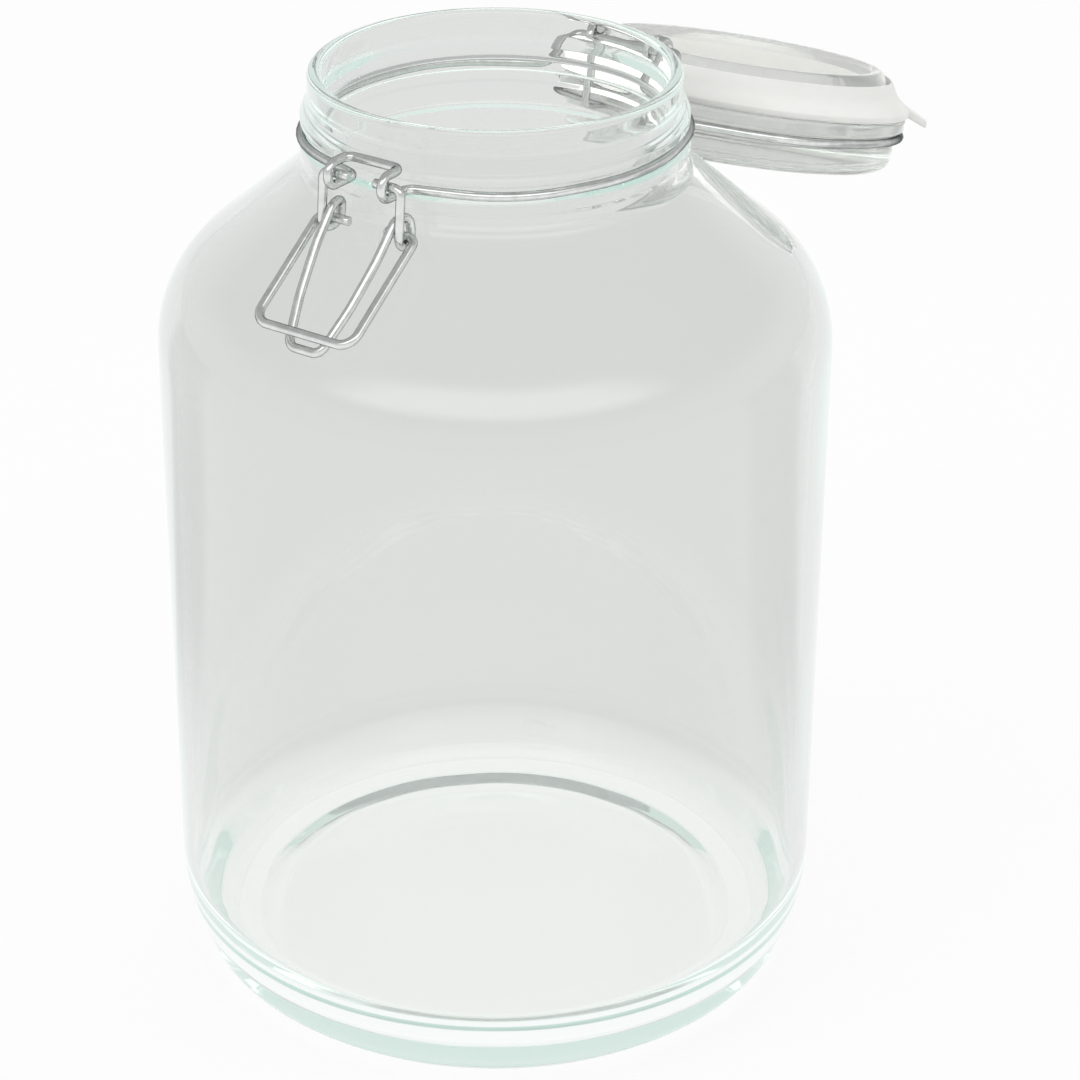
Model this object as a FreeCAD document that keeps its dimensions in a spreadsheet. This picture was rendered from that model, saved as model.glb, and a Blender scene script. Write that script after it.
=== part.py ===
"""Large round glass preserving jar with a hinged glass lid, a rubber gasket and a wire clip.

Frame: the origin is the centre of the base, +Z is up, the clip is on the -Y side and the lid's
hinge is on the +Y side. The lid is modelled shut, over the mouth, and its placement then opens it.
The clip's wires are symmetric about X = 0, so each is swept along half its route and mirrored.
"""

import FreeCAD, Part
import math
import os
import re

import Sketcher

Vector = FreeCAD.Vector

# alias, value in mm or degrees, what it is
DIMENSIONS = [
    # the jar's outside
    ("BodyRadius", 91.0, "outside radius of the round body"),
    ("StandInset", 11.0, "how far the standing ring's outer edge lies inside the body"),
    ("RingWidth", 13.7, "width of the flat ring that the jar stands on"),
    ("HeelInset", 5.5, "how far inside the body's wall the heel turns up"),
    ("HeelHeight", 4.9, "height where the heel turns up"),
    ("HeelTopHeight", 20.4, "height where the heel meets the body wall"),
    ("PushRise", 3.6, "how far the base is pushed up at its centre"),
    ("PushLip", 0.9, "height of the pushed-up base at its edge"),
    ("PushBevel", 1.6, "width of the bevel round the pushed-up base"),
    ("MouthHeight", 262.0, "height of the rim"),
    ("NeckFootDrop", 26.3, "how far below the rim the shoulder's slope meets the neck"),
    ("ShoulderSlope", 40.0, "slope of the shoulder, degrees from level"),
    ("NeckRadius", 50.9, "outside radius of the neck under the beads"),
    ("NeckWall", 5.3, "glass thickness of the neck"),
    ("LipInset", 1.7, "how far inside the neck's outside the lip lies"),
    ("LipHeight", 6.5, "height of the straight lip"),
    ("LipBevel", 1.6, "bevel round the outside of the rim"),
    ("MouthBevel", 1.2, "bevel round the inside of the rim"),
    ("BeadRise", 0.6, "how far the beads that hold the neck wire stand off the neck"),
    ("LowerBeadFoot", 5.8, "from the neck wire down to the lower bead's foot"),
    ("LowerBeadLow", 4.8, "from the neck wire down to the lower bead's low edge"),
    ("LowerBeadTop", 2.4, "from the neck wire down to the lower bead's top edge"),
    ("UpperBeadLow", 2.2, "from the neck wire up to the upper bead's low edge"),
    ("UpperBeadTop", 4.6, "from the neck wire up to the upper bead's top edge"),
    ("UpperBeadInset", 0.3, "how far inside the lower bead the upper bead lies"),
    # the jar's wall
    ("WallThickness", 4.0, "glass thickness of the body and shoulder"),
    ("FloorThickness", 8.0, "height of the floor above the standing ring"),
    ("FloorInset", 6.0, "how far the flat floor ends inside the standing ring's outer edge"),
    ("FloorRise", 2.0, "how far above the heel the floor's bend ends"),
    # rounding
    ("ShoulderRound", 33.0, "outside rounding of the shoulder"),
    ("HeelRound", 48.0, "outside rounding of the heel into the wall"),
    ("FootRound", 8.0, "rounding of the heel's low edge"),
    ("FloorRound", 16.0, "inside rounding of the floor"),
    ("NeckRound", 5.0, "hollow rounding between shoulder and neck"),
    ("BeadRound", 0.7, "rounding of the beads and the lip"),
    # the wire and how it sits
    ("WireDiameter", 2.2, "diameter of all the wires"),
    ("SeatGap", 0.3, "gap between a wire and what it seats on"),
    ("StrandGap", 0.1, "gap between strands that lie side by side"),
    ("GrooveEase", 0.2, "how far the neck wire's middle stands off flush with the beads"),
    ("NeckWireDrop", 16.0, "how far the neck wire lies below the rim"),
    # the clip
    ("EyeRadius", 3.05, "radius of the neck wire's eyes, at the wire's centre"),
    ("EyeStandoff", 7.1, "distance of the eyes' axis from the neck's outside"),
    ("EyeSpacing", 16.6, "distance between the two eyes"),
    ("PinInset", 3.9, "distance of the lever's cut ends from the middle"),
    ("ArmSideGap", 1.6, "gap between an eye and the lever's arm beside it"),
    ("CoilRadius", 3.4, "radius of the lever's coils, at the wire's centre"),
    ("CoilInset", 2.1, "how far nearer to the neck than the eyes' axis the coils' axis lies"),
    ("CoilDrop", 12.25, "how far the coils' axis lies below the eyes' axis"),
    ("LoopLength", 38.3, "length of the lever's finger loop"),
    ("LoopDip", 7.8, "how much steeper than the shoulder the finger loop hangs, degrees"),
    ("LoopTipWidth", 9.8, "width of the finger loop at its tip"),
    ("BailSideGap", 0.8, "gap between a coil and the bail's leg beside it"),
    ("BailLength", 34.0, "length of the bail from its pins to its bar"),
    ("BailLift", 5.4, "how much flatter than the shoulder the bail lies, degrees"),
    ("BailCorner", 4.2, "bend radius of the bail's corners"),
    ("BailPinInset", 5.6, "distance of the bail's cut ends from the middle"),
    # the hinge
    ("HingeStandoff", 13.8, "distance of the hinge's axis from the neck's outside"),
    ("HingeDrop", 12.0, "how far the hinge's axis lies below the rim"),
    ("HingeArmSpacing", 33.0, "distance between the arms that carry the hinge bar"),
    ("HingeEyeSpacing", 20.1, "distance between the lid wire's two hinge eyes"),
    ("HingeEyeGap", 0.35, "gap between a hinge eye and the hinge bar"),
    ("OpenAngle", 195.0, "how far the lid stands open, degrees"),
    # the lid
    ("LidSeatGap", 2.5, "gap for the flattened gasket between the rim and the shut lid"),
    ("FlangeInset", 0.6, "how far inside the neck's outside the lid's flange ends"),
    ("FlangeHeight", 4.4, "height of the lid's flange"),
    ("FlangeRound", 1.4, "rounding of the flange's edges"),
    ("LidWireLift", 5.9, "height of the lid's wire above the flange's face"),
    ("DomeInset", 2.3, "how far inside the flange's edge the lid above its wire lies"),
    ("DomeHeight", 16.0, "height of the lid above its flange face"),
    ("DomeRound", 4.0, "rounding of the lid's top edge"),
    ("PlugGap", 1.8, "gap between the plug and the mouth"),
    ("PlugTaper", 2.8, "how much slimmer the plug's tip is than its root, in radius"),
    ("PlugLeadIn", 4.4, "height of the plug's tapered tip"),
    ("PlugDepth", 12.0, "depth of the plug"),
    ("PlugWall", 4.6, "glass thickness of the plug"),
    ("PlugDraft", 1.6, "how much wider the recess is at the plug's tip, in radius"),
    ("PlugRound", 1.2, "rounding of the plug's edges"),
    ("LidThickness", 6.0, "glass thickness of the lid's top"),
    ("CeilingRound", 6.0, "rounding of the recess under the lid's top"),
    # the gasket
    ("GasketLip", 0.6, "how far the rubber ring stands out past the flange"),
    ("GasketLand", 1.2, "width of the ring's edge that lies against the flange"),
    ("GasketThickness", 1.8, "thickness of the rubber ring"),
    ("GasketLift", 6.8, "how far the relaxed ring's inner edge stands off the flange"),
    ("TabLength", 6.5, "length of the ring's pull tab beyond its edge"),
    ("TabRoot", 1.5, "how far the tab's root lies inside the ring's edge"),
    ("TabThickness", 1.5, "thickness of the pull tab"),
    ("TabWidth", 9.0, "width of the pull tab"),
    ("TabAngle", -35.0, "direction of the pull tab, degrees from +X when shut"),
]

# sizes that follow from the driving ones, each a formula that may use the ones before it
DERIVED = {
    "StandRadius": "BodyRadius - StandInset",
    "PushRadius": "StandRadius - RingWidth",
    "HeelRadius": "BodyRadius - HeelInset",
    "MouthRadius": "NeckRadius - NeckWall",
    "LipRadius": "NeckRadius - LipInset",
    "BeadRadius": "NeckRadius + BeadRise",
    "NeckFootHeight": "MouthHeight - NeckFootDrop",
    "ShoulderHeight": "NeckFootHeight - ( BodyRadius - NeckRadius ) * tan( ShoulderSlope * 1 deg )",
    "NeckWireHeight": "MouthHeight - NeckWireDrop",
    "StrandPitch": "WireDiameter + StrandGap",
    "EyeReach": "NeckRadius + EyeStandoff",
    "PinHeight": "NeckWireHeight + EyeRadius",
    "ArmSpacing": "EyeSpacing + 2 * ( WireDiameter + ArmSideGap )",
    "CoilReach": "EyeReach - CoilInset",
    "CoilHeight": "PinHeight - CoilDrop",
    "LoopSlope": "ShoulderSlope + LoopDip",
    "BailSpacing": "ArmSpacing + 2 * ( WireDiameter + BailSideGap )",
    "BailSlope": "ShoulderSlope - BailLift",
    "HingeReach": "NeckRadius + HingeStandoff",
    "HingeHeight": "MouthHeight - HingeDrop",
    "LidSeat": "MouthHeight + LidSeatGap",
    "FlangeRadius": "NeckRadius - FlangeInset",
    "DomeRadius": "FlangeRadius - DomeInset",
    "LidWireHeight": "LidSeat + LidWireLift",
    "PlugRadius": "MouthRadius - PlugGap",
    "PlugTipRadius": "PlugRadius - PlugTaper",
    "GasketRadius": "FlangeRadius + GasketLip",
}

doc = FreeCAD.newDocument("PreservingJar")
sheet = doc.addObject("Spreadsheet::Sheet", "Sizes")
for row, (alias, value, meaning) in enumerate(DIMENSIONS, start=1):
    sheet.set("A%d" % row, str(value))
    sheet.setAlias("A%d" % row, alias)
    sheet.set("B%d" % row, meaning)
doc.recompute()


def with_sheet(formula):
    """The formula with each derived size written out and each alias written as a cell of the sheet."""
    for name in reversed(DERIVED):
        formula = re.sub(r"\b%s\b" % name, "( %s )" % DERIVED[name], formula)
    aliases = "|".join(alias for alias, _, _ in DIMENSIONS)
    return re.sub(r"\b(%s)\b" % aliases, r"Sizes.\1", formula)


def size(formula):
    """The present value of a size, or of a formula of sizes, which the sheet itself works out."""
    return float(sheet.evalExpression(with_sheet(formula)))


# --- helpers for the turned pieces ------------------------------------------------------------


def on_plane(body, role):
    """One of a body's own origin planes or axes, found by its role."""
    return next(item for item in body.Origin.OriginFeatures if item.Role == role)


def turned_profile(body, name, corners):
    """A closed sketch on the body's XZ plane through corners, each a pair of formulas for radius
    and height that is bound to the sheet. A radius of 0 puts the corner on the axis."""
    sketch = body.newObject("Sketcher::SketchObject", name)
    sketch.AttachmentSupport = [(on_plane(body, "XZ_Plane"), "")]
    sketch.MapMode = "FlatFace"
    places = []
    for radius, height in corners:
        places.append((size(radius), size(height)))
    for index, (here, after) in enumerate(zip(places, places[1:] + places[:1])):
        line = Part.LineSegment(Vector(here[0], here[1], 0), Vector(after[0], after[1], 0))
        sketch.addGeometry(line, False)
    for index in range(len(corners)):
        following = (index + 1) % len(corners)
        sketch.addConstraint(Sketcher.Constraint("Coincident", index, 2, following, 1))
    for index, (radius, height) in enumerate(corners):
        if radius == "0":
            sketch.addConstraint(Sketcher.Constraint("PointOnObject", index, 1, -2))
        else:
            bind(sketch, "DistanceX", index, "radius", places[index][0], radius)
        if height == "0":
            sketch.addConstraint(Sketcher.Constraint("PointOnObject", index, 1, -1))
        else:
            bind(sketch, "DistanceY", index, "height", places[index][1], height)
    return sketch


def bind(sketch, kind, index, word, value, formula):
    """A distance from the sketch's origin to the start of line number index, bound to a formula."""
    constraint = sketch.addConstraint(Sketcher.Constraint(kind, -1, 1, index, 1, value))
    name = "%s%d" % (word, index)
    sketch.renameConstraint(constraint, name)
    sketch.setExpression("Constraints." + name, with_sheet(formula))


def revolved(body, sketch, kind, name):
    """A full turn of a sketch about the body's Z axis: a Revolution or a Groove."""
    feature = body.newObject("PartDesign::" + kind, name)
    feature.Profile = sketch
    feature.ReferenceAxis = (on_plane(body, "Z_Axis"), [""])
    feature.Angle = 360.0
    doc.recompute()
    return feature


def rounded(body, name, alias, places):
    """Fillets the round edges at places, pairs of formulas for radius and height."""
    base = body.Tip
    edges = []
    for radius, height in places:
        found = edge_at(base.Shape, size(radius), size(height))
        edges.append("Edge%d" % found)
    fillet = body.newObject("PartDesign::Fillet", name)
    fillet.Base = (base, edges)
    fillet.setExpression("Radius", with_sheet(alias))
    doc.recompute()
    return fillet


def edge_at(shape, radius, height):
    """The number of the circular edge about the Z axis with this radius and height."""
    for number, edge in enumerate(shape.Edges, start=1):
        round_edge = isinstance(edge.Curve, Part.Circle)
        if round_edge and abs(edge.Curve.Radius - radius) < 0.01 and abs(edge.Curve.Center.z - height) < 0.01:
            return number
    raise ValueError("no round edge at radius %.2f, height %.2f" % (radius, height))


# --- the jar's glass --------------------------------------------------------------------------

# the shoulder's line, outside and inside, as a height at a given radius
SHOULDER_AT = "ShoulderHeight + ( BodyRadius - %s ) * tan( ShoulderSlope * 1 deg )"
SHOULDER_INSIDE_AT = SHOULDER_AT + " - WallThickness / cos( ShoulderSlope * 1 deg )"
NECK_FOOT_INSIDE = SHOULDER_INSIDE_AT % "MouthRadius"
INNER_RADIUS = "BodyRadius - WallThickness"
INNER_SHOULDER = SHOULDER_INSIDE_AT % "( BodyRadius - WallThickness )"
FLOOR_RADIUS = "StandRadius - FloorInset"
FLOOR_WALL_HEIGHT = "HeelTopHeight + FloorRise"

# the beads above and below the neck wire, as heights from the wire's centre
GROOVE_RADIUS = "BeadRadius - WireDiameter - SeatGap - GrooveEase"
GROOVE_HALF = "WireDiameter / 2 + SeatGap"


def make_jar_glass():
    """The jar: one turned solid, with a groove for the inside and rounded edges."""
    body = doc.addObject("PartDesign::Body", "JarGlass")
    body.Label = "jar_glass"
    outside = [
        ("0", "PushRise"),
        ("PushRadius * 0.6", "PushRise * 0.8"),
        ("PushRadius", "PushLip"),
        ("PushRadius + PushBevel", "0"),
        ("StandRadius", "0"),
        ("HeelRadius", "HeelHeight"),
        ("BodyRadius", "HeelTopHeight"),
        ("BodyRadius", "ShoulderHeight"),
        ("NeckRadius", "NeckFootHeight"),
        ("NeckRadius", "NeckWireHeight - LowerBeadFoot"),
        ("BeadRadius", "NeckWireHeight - LowerBeadLow"),
        ("BeadRadius", "NeckWireHeight - LowerBeadTop"),
        (GROOVE_RADIUS, "NeckWireHeight - ( " + GROOVE_HALF + " )"),
        (GROOVE_RADIUS, "NeckWireHeight + " + GROOVE_HALF),
        ("BeadRadius - UpperBeadInset", "NeckWireHeight + UpperBeadLow"),
        ("BeadRadius - UpperBeadInset", "NeckWireHeight + UpperBeadTop"),
        ("LipRadius", "MouthHeight - LipHeight"),
        ("LipRadius", "MouthHeight - LipBevel"),
        ("LipRadius - LipBevel", "MouthHeight"),
        ("MouthRadius + MouthBevel", "MouthHeight"),
        ("0", "MouthHeight"),
    ]
    revolved(body, turned_profile(body, "JarOutline", outside), "Revolution", "JarOutside")
    inside = [
        ("0", "FloorThickness"),
        (FLOOR_RADIUS, "FloorThickness"),
        (INNER_RADIUS, FLOOR_WALL_HEIGHT),
        (INNER_RADIUS, INNER_SHOULDER),
        ("MouthRadius", NECK_FOOT_INSIDE),
        ("MouthRadius", "MouthHeight - MouthBevel"),
        ("MouthRadius + MouthBevel", "MouthHeight"),
        ("0", "MouthHeight"),
    ]
    revolved(body, turned_profile(body, "JarHollow", inside), "Groove", "JarInside")
    rounded(body, "ShoulderOutside", "ShoulderRound", [("BodyRadius", "ShoulderHeight")])
    rounded(body, "ShoulderInside", "ShoulderRound - WallThickness", [(INNER_RADIUS, INNER_SHOULDER)])
    rounded(body, "HeelBend", "HeelRound", [("BodyRadius", "HeelTopHeight")])
    rounded(body, "HeelFoot", "FootRound", [("HeelRadius", "HeelHeight")])
    floor_bends = [(FLOOR_RADIUS, "FloorThickness"), (INNER_RADIUS, FLOOR_WALL_HEIGHT)]
    rounded(body, "FloorBends", "FloorRound", floor_bends)
    rounded(body, "NeckOutside", "NeckRound", [("NeckRadius", "NeckFootHeight")])
    rounded(body, "NeckInside", "NeckRound + WallThickness", [("MouthRadius", NECK_FOOT_INSIDE)])
    beads = [
        ("BeadRadius", "NeckWireHeight - LowerBeadLow"),
        ("BeadRadius", "NeckWireHeight - LowerBeadTop"),
        ("BeadRadius - UpperBeadInset", "NeckWireHeight + UpperBeadLow"),
        ("BeadRadius - UpperBeadInset", "NeckWireHeight + UpperBeadTop"),
        ("LipRadius", "MouthHeight - LipBevel"),
        ("LipRadius - LipBevel", "MouthHeight"),
        ("MouthRadius + MouthBevel", "MouthHeight"),
        ("MouthRadius", "MouthHeight - MouthBevel"),
    ]
    rounded(body, "BeadEdges", "BeadRound", beads)
    return body


# --- the lid's glass and gasket ---------------------------------------------------------------


def make_lid_glass():
    """The lid: a flange, a groove for its wire, a low dome, and a hollow plug underneath."""
    body = doc.addObject("PartDesign::Body", "LidGlass")
    body.Label = "lid_glass"
    outside = [
        ("0", "LidSeat - PlugDepth"),
        ("PlugTipRadius", "LidSeat - PlugDepth"),
        ("PlugRadius", "LidSeat - PlugDepth + PlugLeadIn"),
        ("PlugRadius", "LidSeat"),
        ("FlangeRadius", "LidSeat"),
        ("FlangeRadius", "LidSeat + FlangeHeight"),
        ("DomeRadius", "LidSeat + FlangeHeight"),
        ("DomeRadius", "LidSeat + DomeHeight"),
        ("0", "LidSeat + DomeHeight"),
    ]
    revolved(body, turned_profile(body, "LidOutline", outside), "Revolution", "LidOutside")
    ceiling = "LidSeat + DomeHeight - LidThickness"
    inside = [
        ("0", "LidSeat - PlugDepth"),
        ("PlugTipRadius - PlugWall + PlugDraft", "LidSeat - PlugDepth"),
        ("PlugTipRadius - PlugWall", ceiling),
        ("0", ceiling),
    ]
    revolved(body, turned_profile(body, "LidHollow", inside), "Groove", "LidInside")
    rounded(body, "LidTopEdge", "DomeRound", [("DomeRadius", "LidSeat + DomeHeight")])
    rounded(body, "LidCeiling", "CeilingRound", [("PlugTipRadius - PlugWall", ceiling)])
    rounded(body, "FlangeEdges", "FlangeRound", [
        ("FlangeRadius", "LidSeat"),
        ("FlangeRadius", "LidSeat + FlangeHeight"),
    ])
    rounded(body, "PlugEdges", "PlugRound", [
        ("PlugTipRadius", "LidSeat - PlugDepth"),
        ("PlugRadius", "LidSeat - PlugDepth + PlugLeadIn"),
        ("PlugTipRadius - PlugWall + PlugDraft", "LidSeat - PlugDepth"),
    ])
    return body


def make_gasket():
    """The rubber ring round the plug, relaxed, so that it stands off the flange like a cone."""
    body = doc.addObject("PartDesign::Body", "Gasket")
    body.Label = "gasket"
    inner = "PlugRadius + SeatGap"
    section = [
        (inner, "LidSeat - GasketLift - GasketThickness"),
        ("GasketRadius", "LidSeat - GasketThickness"),
        ("GasketRadius", "LidSeat"),
        ("GasketRadius - GasketLand", "LidSeat"),
        (inner, "LidSeat - GasketLift + GasketThickness * 0.3"),
    ]
    revolved(body, turned_profile(body, "GasketSection", section), "Revolution", "GasketRing")
    slope = math.degrees(math.atan2(size("GasketLift"), size("GasketRadius") - size("PlugRadius")))
    tab = body.newObject("PartDesign::AdditiveBox", "PullTab")
    tab.setExpression("Length", with_sheet("TabLength + TabRoot"))
    tab.setExpression("Width", with_sheet("TabWidth"))
    tab.setExpression("Height", with_sheet("TabThickness"))
    turn = FreeCAD.Rotation(Vector(0, 0, 1), size("TabAngle"))
    tilt = FreeCAD.Rotation(Vector(0, 1, 0), -0.8 * slope)
    start = Vector(size("GasketRadius - TabRoot"), -size("TabWidth") / 2, 0)
    lift = Vector(0, 0, size("LidSeat - GasketThickness"))
    tab.Placement = FreeCAD.Placement(lift, turn) * FreeCAD.Placement(start, tilt)
    doc.recompute()
    return body


# --- helpers for the wires --------------------------------------------------------------------


def bent_path(corners):
    """A wire of straight runs and tangent arcs. Each corner is a place and its bend radius, and the
    first and last are the ends."""
    edges = []
    start = corners[0][0]
    for (before, _), (here, bend), (after, _) in zip(corners, corners[1:], corners[2:]):
        back = (before - here).normalize()
        onward = (after - here).normalize()
        half_turn = (math.pi - back.getAngle(onward)) / 2
        reach = bend * math.tan(half_turn)
        entry = here + back * reach
        leave = here + onward * reach
        middle = here + (back + onward).normalize() * (bend / math.cos(half_turn) - bend)
        if (entry - start).Length > 1e-5:
            edges.append(Part.LineSegment(start, entry).toShape())
        edges.append(Part.Arc(entry, middle, leave).toShape())
        start = leave
    end = corners[-1][0]
    if (end - start).Length > 1e-5:
        edges.append(Part.LineSegment(start, end).toShape())
    return Part.Wire(edges)


def ring_corners(radius, height, first, last, spans):
    """The corners of an arc about the Z axis. Angles are in degrees from the -Y side towards +X."""
    step = math.radians(last - first) / spans
    corners = []
    for index in range(spans):
        angle = math.radians(first) + (index + 0.5) * step
        out = radius / math.cos(step / 2)
        corners.append((Vector(out * math.sin(angle), -out * math.cos(angle), height), radius))
    return corners


def tangent_meets(radius, angle_degrees, x_place):
    """The Y at which the ring's tangent, at an angle from -Y towards +X, crosses a given X."""
    angle = math.radians(angle_degrees)
    along = (x_place - radius * math.sin(angle)) / math.cos(angle)
    return -radius * math.cos(angle) + along * math.sin(angle)


def wire_piece(label, corners):
    """Sweeps the wire along half a route, mirrors it about X = 0 and joins the halves."""
    route = doc.addObject("Part::Feature", label + "_route")
    route.Shape = bent_path(corners)
    section = doc.addObject("Part::Circle", label + "_section")
    section.setExpression("Radius", "Sizes.WireDiameter / 2")
    heading = route.Shape.Edges[0].tangentAt(route.Shape.Edges[0].FirstParameter)
    section.Placement = FreeCAD.Placement(corners[0][0], FreeCAD.Rotation(Vector(0, 0, 1), heading))
    half = doc.addObject("Part::Sweep", label + "_half")
    half.Sections = [section]
    half.Spine = (route, ["Edge%d" % (index + 1) for index in range(len(route.Shape.Edges))])
    half.Solid = True
    half.Frenet = False
    other = doc.addObject("Part::Mirroring", label + "_other_half")
    other.Source = half
    other.Normal = Vector(1, 0, 0)
    whole = doc.addObject("Part::MultiFuse", label + "_whole")
    whole.Shapes = [half, other]
    whole.Refine = True
    whole.Label = label
    doc.recompute()
    return whole


# --- the wires --------------------------------------------------------------------------------

# bend radii in mm where the wire simply turns a corner
EYE_BEND = 2.6
RING_BEND = 3.0
ARM_BEND = 4.0
BAR_BEND = 2.5
PIN_BEND = 2.0
BAIL_PIN_BEND = 2.4
LEG_BEND = 3.4
LOOP_SIDE_BEND = 90.0
# a coil's bends are a little tighter than half its width, which leaves each straight run some length
COIL_BEND_SHARE = 0.97
# where the neck wire and the lid's wire leave their rings, degrees from the -Y side
NECK_RING_FRONT = 18.0
NECK_RING_BACK = 150.0
LID_RING_BACK = 155.0


def make_neck_ring():
    """The neck wire: a bar between two eyes at the front, a ring round the neck, and at the back
    two arms that carry the hinge bar."""
    eye_x = size("EyeSpacing") / 2
    eye = size("EyeRadius")
    ring_height = size("NeckWireHeight")
    ring = size("BeadRadius - WireDiameter / 2 - GrooveEase")
    top = ring_height + 2 * eye
    front = size("BeadRadius + WireDiameter / 2")
    out = size("EyeReach") + eye
    arm_x = size("HingeArmSpacing") / 2
    corners = [
        (Vector(0, -front, top), 0),
        (Vector(eye_x, -front, top), EYE_BEND),
        (Vector(eye_x, -out, top), eye),
        (Vector(eye_x, -out, ring_height), eye),
        (Vector(eye_x, tangent_meets(ring, NECK_RING_FRONT, eye_x), ring_height), RING_BEND),
    ]
    corners += ring_corners(ring, ring_height, NECK_RING_FRONT, NECK_RING_BACK, 3)
    corners += [
        (Vector(arm_x, tangent_meets(ring, NECK_RING_BACK, arm_x), ring_height), ARM_BEND),
        (Vector(arm_x, size("HingeReach"), size("HingeHeight")), BAR_BEND),
        (Vector(0, size("HingeReach"), size("HingeHeight")), 0),
    ]
    return wire_piece("neck_ring", corners)


def make_lever():
    """The lever: a finger loop that runs into a coil on each side, then up an arm to a pin that
    turns in the neck wire's eye."""
    slope = math.radians(size("LoopSlope"))
    coil = size("CoilRadius")
    coil_y = -size("CoilReach")
    coil_z = size("CoilHeight")
    arm_x = size("ArmSpacing") / 2
    inner_x = arm_x - size("StrandPitch")
    tip = size("LoopTipWidth") / 2
    length = size("LoopLength")
    shift = (arm_x - inner_x) / 3
    turn_bend = coil * COIL_BEND_SHARE
    pin_y = -size("EyeReach")
    pin_z = size("PinHeight")
    run = coil * math.tan(slope / 2)
    root = Vector(inner_x, coil_y - run, coil_z + coil)

    def on_loop(along, x_place):
        """A place on the loop's plane, at a distance along it from its root."""
        return Vector(x_place, root.y - along * math.cos(slope), root.z - along * math.sin(slope))

    corners = [
        (on_loop(length, 0), 0),
        (on_loop(length, tip), tip - 0.3),
        (on_loop(length * 0.68, tip + (inner_x - tip) * 0.38), LOOP_SIDE_BEND),
        (on_loop(length * 0.36, tip + (inner_x - tip) * 0.73), LOOP_SIDE_BEND),
        (root, coil),
        (Vector(inner_x + shift, coil_y + coil, coil_z + coil), turn_bend),
        (Vector(inner_x + 2 * shift, coil_y + coil, coil_z - coil), turn_bend),
        (Vector(arm_x, coil_y - coil, coil_z - coil), turn_bend),
        (Vector(arm_x, pin_y, pin_z), PIN_BEND),
        (Vector(size("PinInset"), pin_y, pin_z), 0),
    ]
    return wire_piece("lever", corners)


def make_bail():
    """The bail: a bar with rounded corners, two legs, and cut ends that turn in the lever's coils."""
    slope = math.radians(size("BailSlope"))
    pin = bail_pin()
    leg_x = size("BailSpacing") / 2
    far = Vector(0, -math.cos(slope), -math.sin(slope)) * size("BailLength")
    corners = [
        (pin + far, 0),
        (pin + far + Vector(leg_x, 0, 0), size("BailCorner")),
        (pin + Vector(leg_x, 0, 0), BAIL_PIN_BEND),
        (pin + Vector(size("BailPinInset"), 0, 0), 0),
    ]
    return wire_piece("bail", corners)


def bail_pin():
    """The middle of the bail's axis: its pins lie on the bottom of the lever's coils."""
    drop = size("CoilRadius - WireDiameter - SeatGap")
    return Vector(0, -size("CoilReach"), size("CoilHeight") - drop)


def make_lid_ring():
    """The lid's wire: a ring in the lid's groove whose two ends run back and down to the hinge and
    coil round the hinge bar."""
    ring = size("DomeRadius + WireDiameter / 2 + SeatGap")
    height = size("LidWireHeight")
    eye = size("WireDiameter + HingeEyeGap")
    hinge_y = size("HingeReach")
    hinge_z = size("HingeHeight")
    leg_x = size("HingeEyeSpacing + StrandPitch") / 2
    quarter = size("StrandPitch") / 4
    corners = [(Vector(0, -ring, height), 0)]
    corners += ring_corners(ring, height, 0.0, LID_RING_BACK, 3)
    corners += [
        (Vector(leg_x, tangent_meets(ring, LID_RING_BACK, leg_x), height), RING_BEND),
        (Vector(leg_x, hinge_y - eye, height), LEG_BEND),
    ]
    square = [(-1, -1), (1, -1), (1, 1), (-1, 1), (-1, -1)]
    for index, (side, level) in enumerate(square):
        place = Vector(leg_x - index * quarter, hinge_y + side * eye, hinge_z + level * eye)
        corners.append((place, eye * COIL_BEND_SHARE))
    corners.append((Vector(leg_x - 5 * quarter, hinge_y + eye * 0.3, hinge_z - eye), 0))
    return wire_piece("lid_ring", corners)


# --- the whole --------------------------------------------------------------------------------


def open_lid(pieces):
    """Turns the lid's pieces about the hinge from shut to open."""
    hinge = Vector(0, size("HingeReach"), size("HingeHeight"))
    turn = FreeCAD.Rotation(Vector(1, 0, 0), -size("OpenAngle"))
    placement = FreeCAD.Placement(Vector(0, 0, 0), turn, hinge)
    for piece in pieces:
        piece.Placement = placement


def check_and_write(pieces):
    """Stops if any object failed or a piece isn't one valid solid, then writes the STEP files."""
    for item in doc.Objects:
        if "Invalid" in item.State or "Error" in item.State:
            raise RuntimeError("%s is in state %s" % (item.Label, item.State))
    for piece in pieces:
        shape = piece.Shape
        if shape.isNull() or not shape.isValid() or len(shape.Solids) != 1:
            raise RuntimeError("%s isn't one valid solid" % piece.Label)
    os.makedirs("parts", exist_ok=True)
    for piece in pieces:
        piece.Shape.exportStep(os.path.join("parts", piece.Label + ".step"))
        box = piece.Shape.BoundBox
        print("%-10s volume %9.0f mm3, x %.1f..%.1f, y %.1f..%.1f, z %.1f..%.1f" % (
            piece.Label, piece.Shape.Volume, box.XMin, box.XMax, box.YMin, box.YMax, box.ZMin, box.ZMax))


jar_glass = make_jar_glass()
neck_ring = make_neck_ring()
lid_glass = make_lid_glass()
gasket = make_gasket()
lid_ring = make_lid_ring()
lever = make_lever()
bail = make_bail()
open_lid([lid_glass, gasket, lid_ring])
doc.recompute()
check_and_write([jar_glass, neck_ring, lid_glass, gasket, lid_ring, lever, bail])
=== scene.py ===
"""Studio scene of a large round glass preserving jar with a hinged lid, dressed over its frame.

The jar's glass, the lid's glass and the rubber ring are turned here as fine smooth meshes that
stand for their plain solids, and the bent wires are drawn again along the same routes.
Sizes are in millimetres until a mesh is made, and everything in the scene is in metres.
"""

import logging
import math
from dataclasses import dataclass, field
from enum import Enum
from typing import Callable, Sequence

import bmesh
import bpy
from mathutils import Matrix, Vector


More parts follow.
